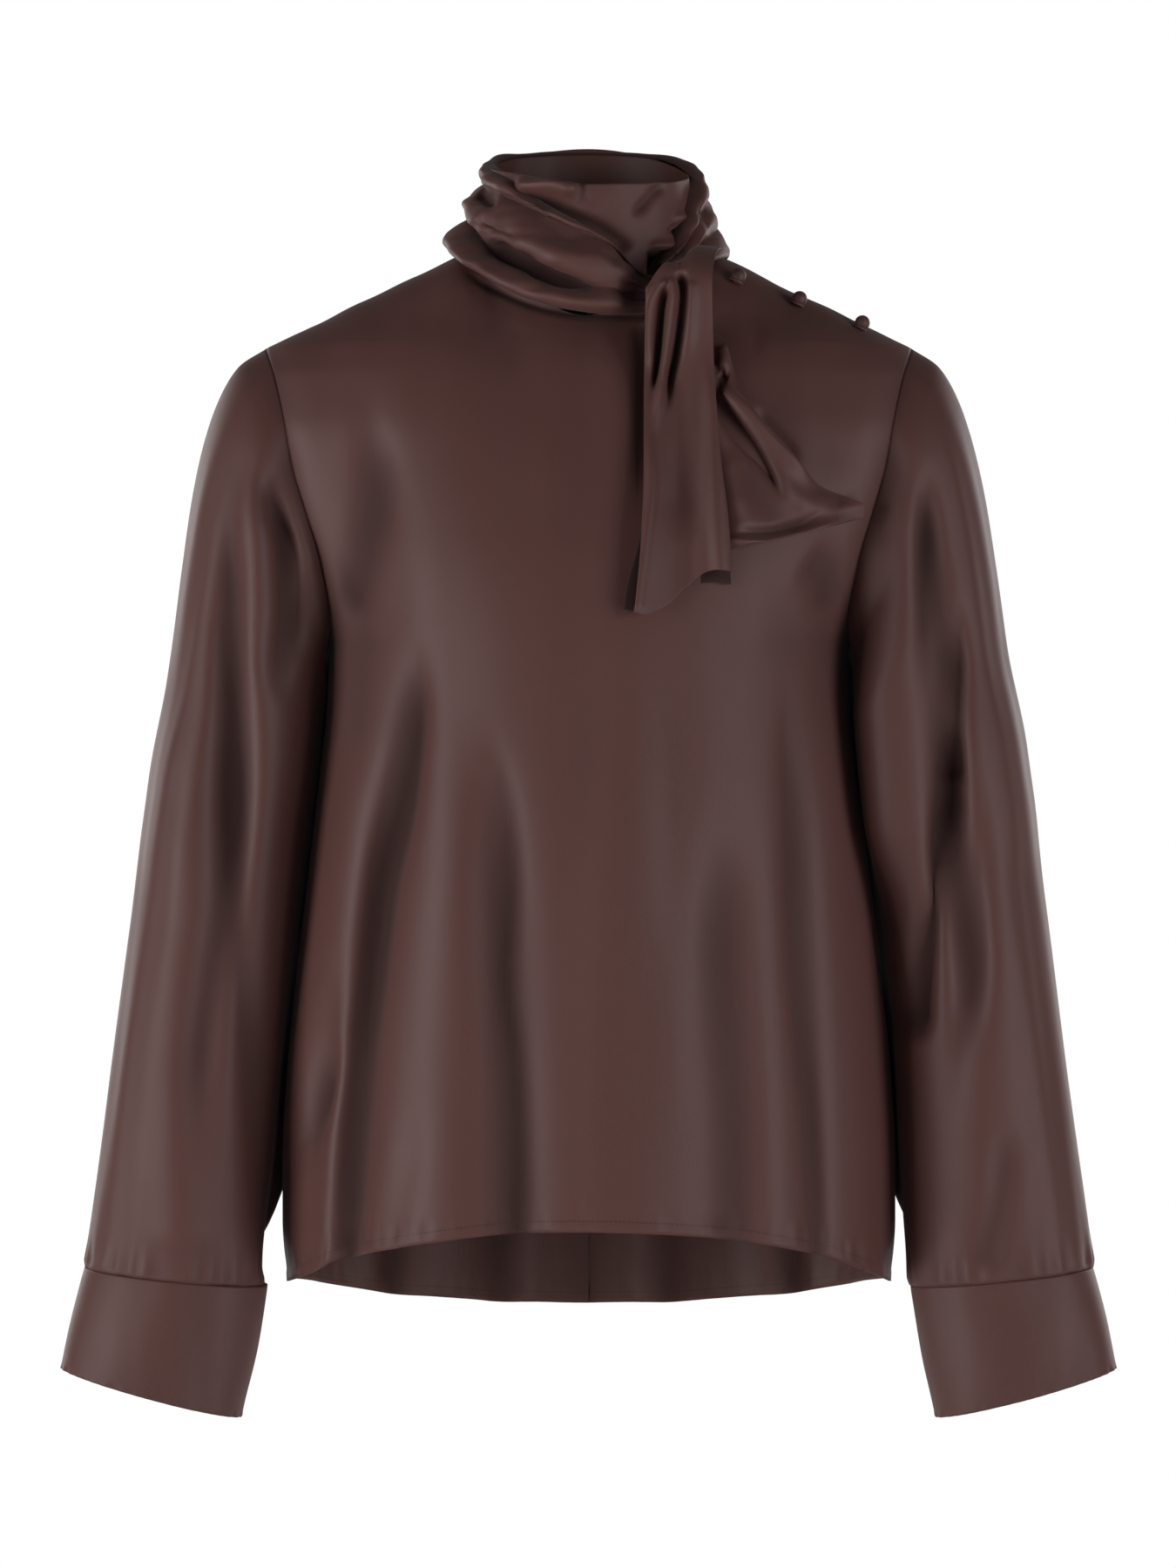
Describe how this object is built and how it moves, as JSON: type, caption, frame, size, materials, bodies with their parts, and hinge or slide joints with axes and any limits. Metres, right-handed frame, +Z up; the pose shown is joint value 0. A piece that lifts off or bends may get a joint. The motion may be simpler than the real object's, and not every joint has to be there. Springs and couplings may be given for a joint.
{
  "type": "high neck top with a tie collar",
  "caption": "Boxy long-sleeved satin blouse in its worn, hollow form, with a high draped scarf collar tied at the side front and deep plain cuffs.",
  "frame": {"origin": "middle of the neck base, level with the points where the shoulders meet the collar", "axes": "+Z up along the worn body towards the head, +X to the wearer's left, -Y to the front"},
  "size_m": [0.622, 0.2624, 0.759],
  "materials": {
    "satin": "soft satin",
    "button_cloth": "satin over a ball button"
  },
  "bodies": {
    "root": {"front": "satin", "back_left": "satin", "back_right": "satin", "sleeve_left": "satin", "sleeve_right": "satin", "cuff_left": "satin", "cuff_right": "satin", "collar_stand": "satin", "scarf_wrap": "satin", "tie_knot": "satin", "tie_front_end": "satin", "tie_side_end": "satin", "button_1": "button_cloth", "button_2": "button_cloth", "button_3": "button_cloth"}
  },
  "joints": []
}
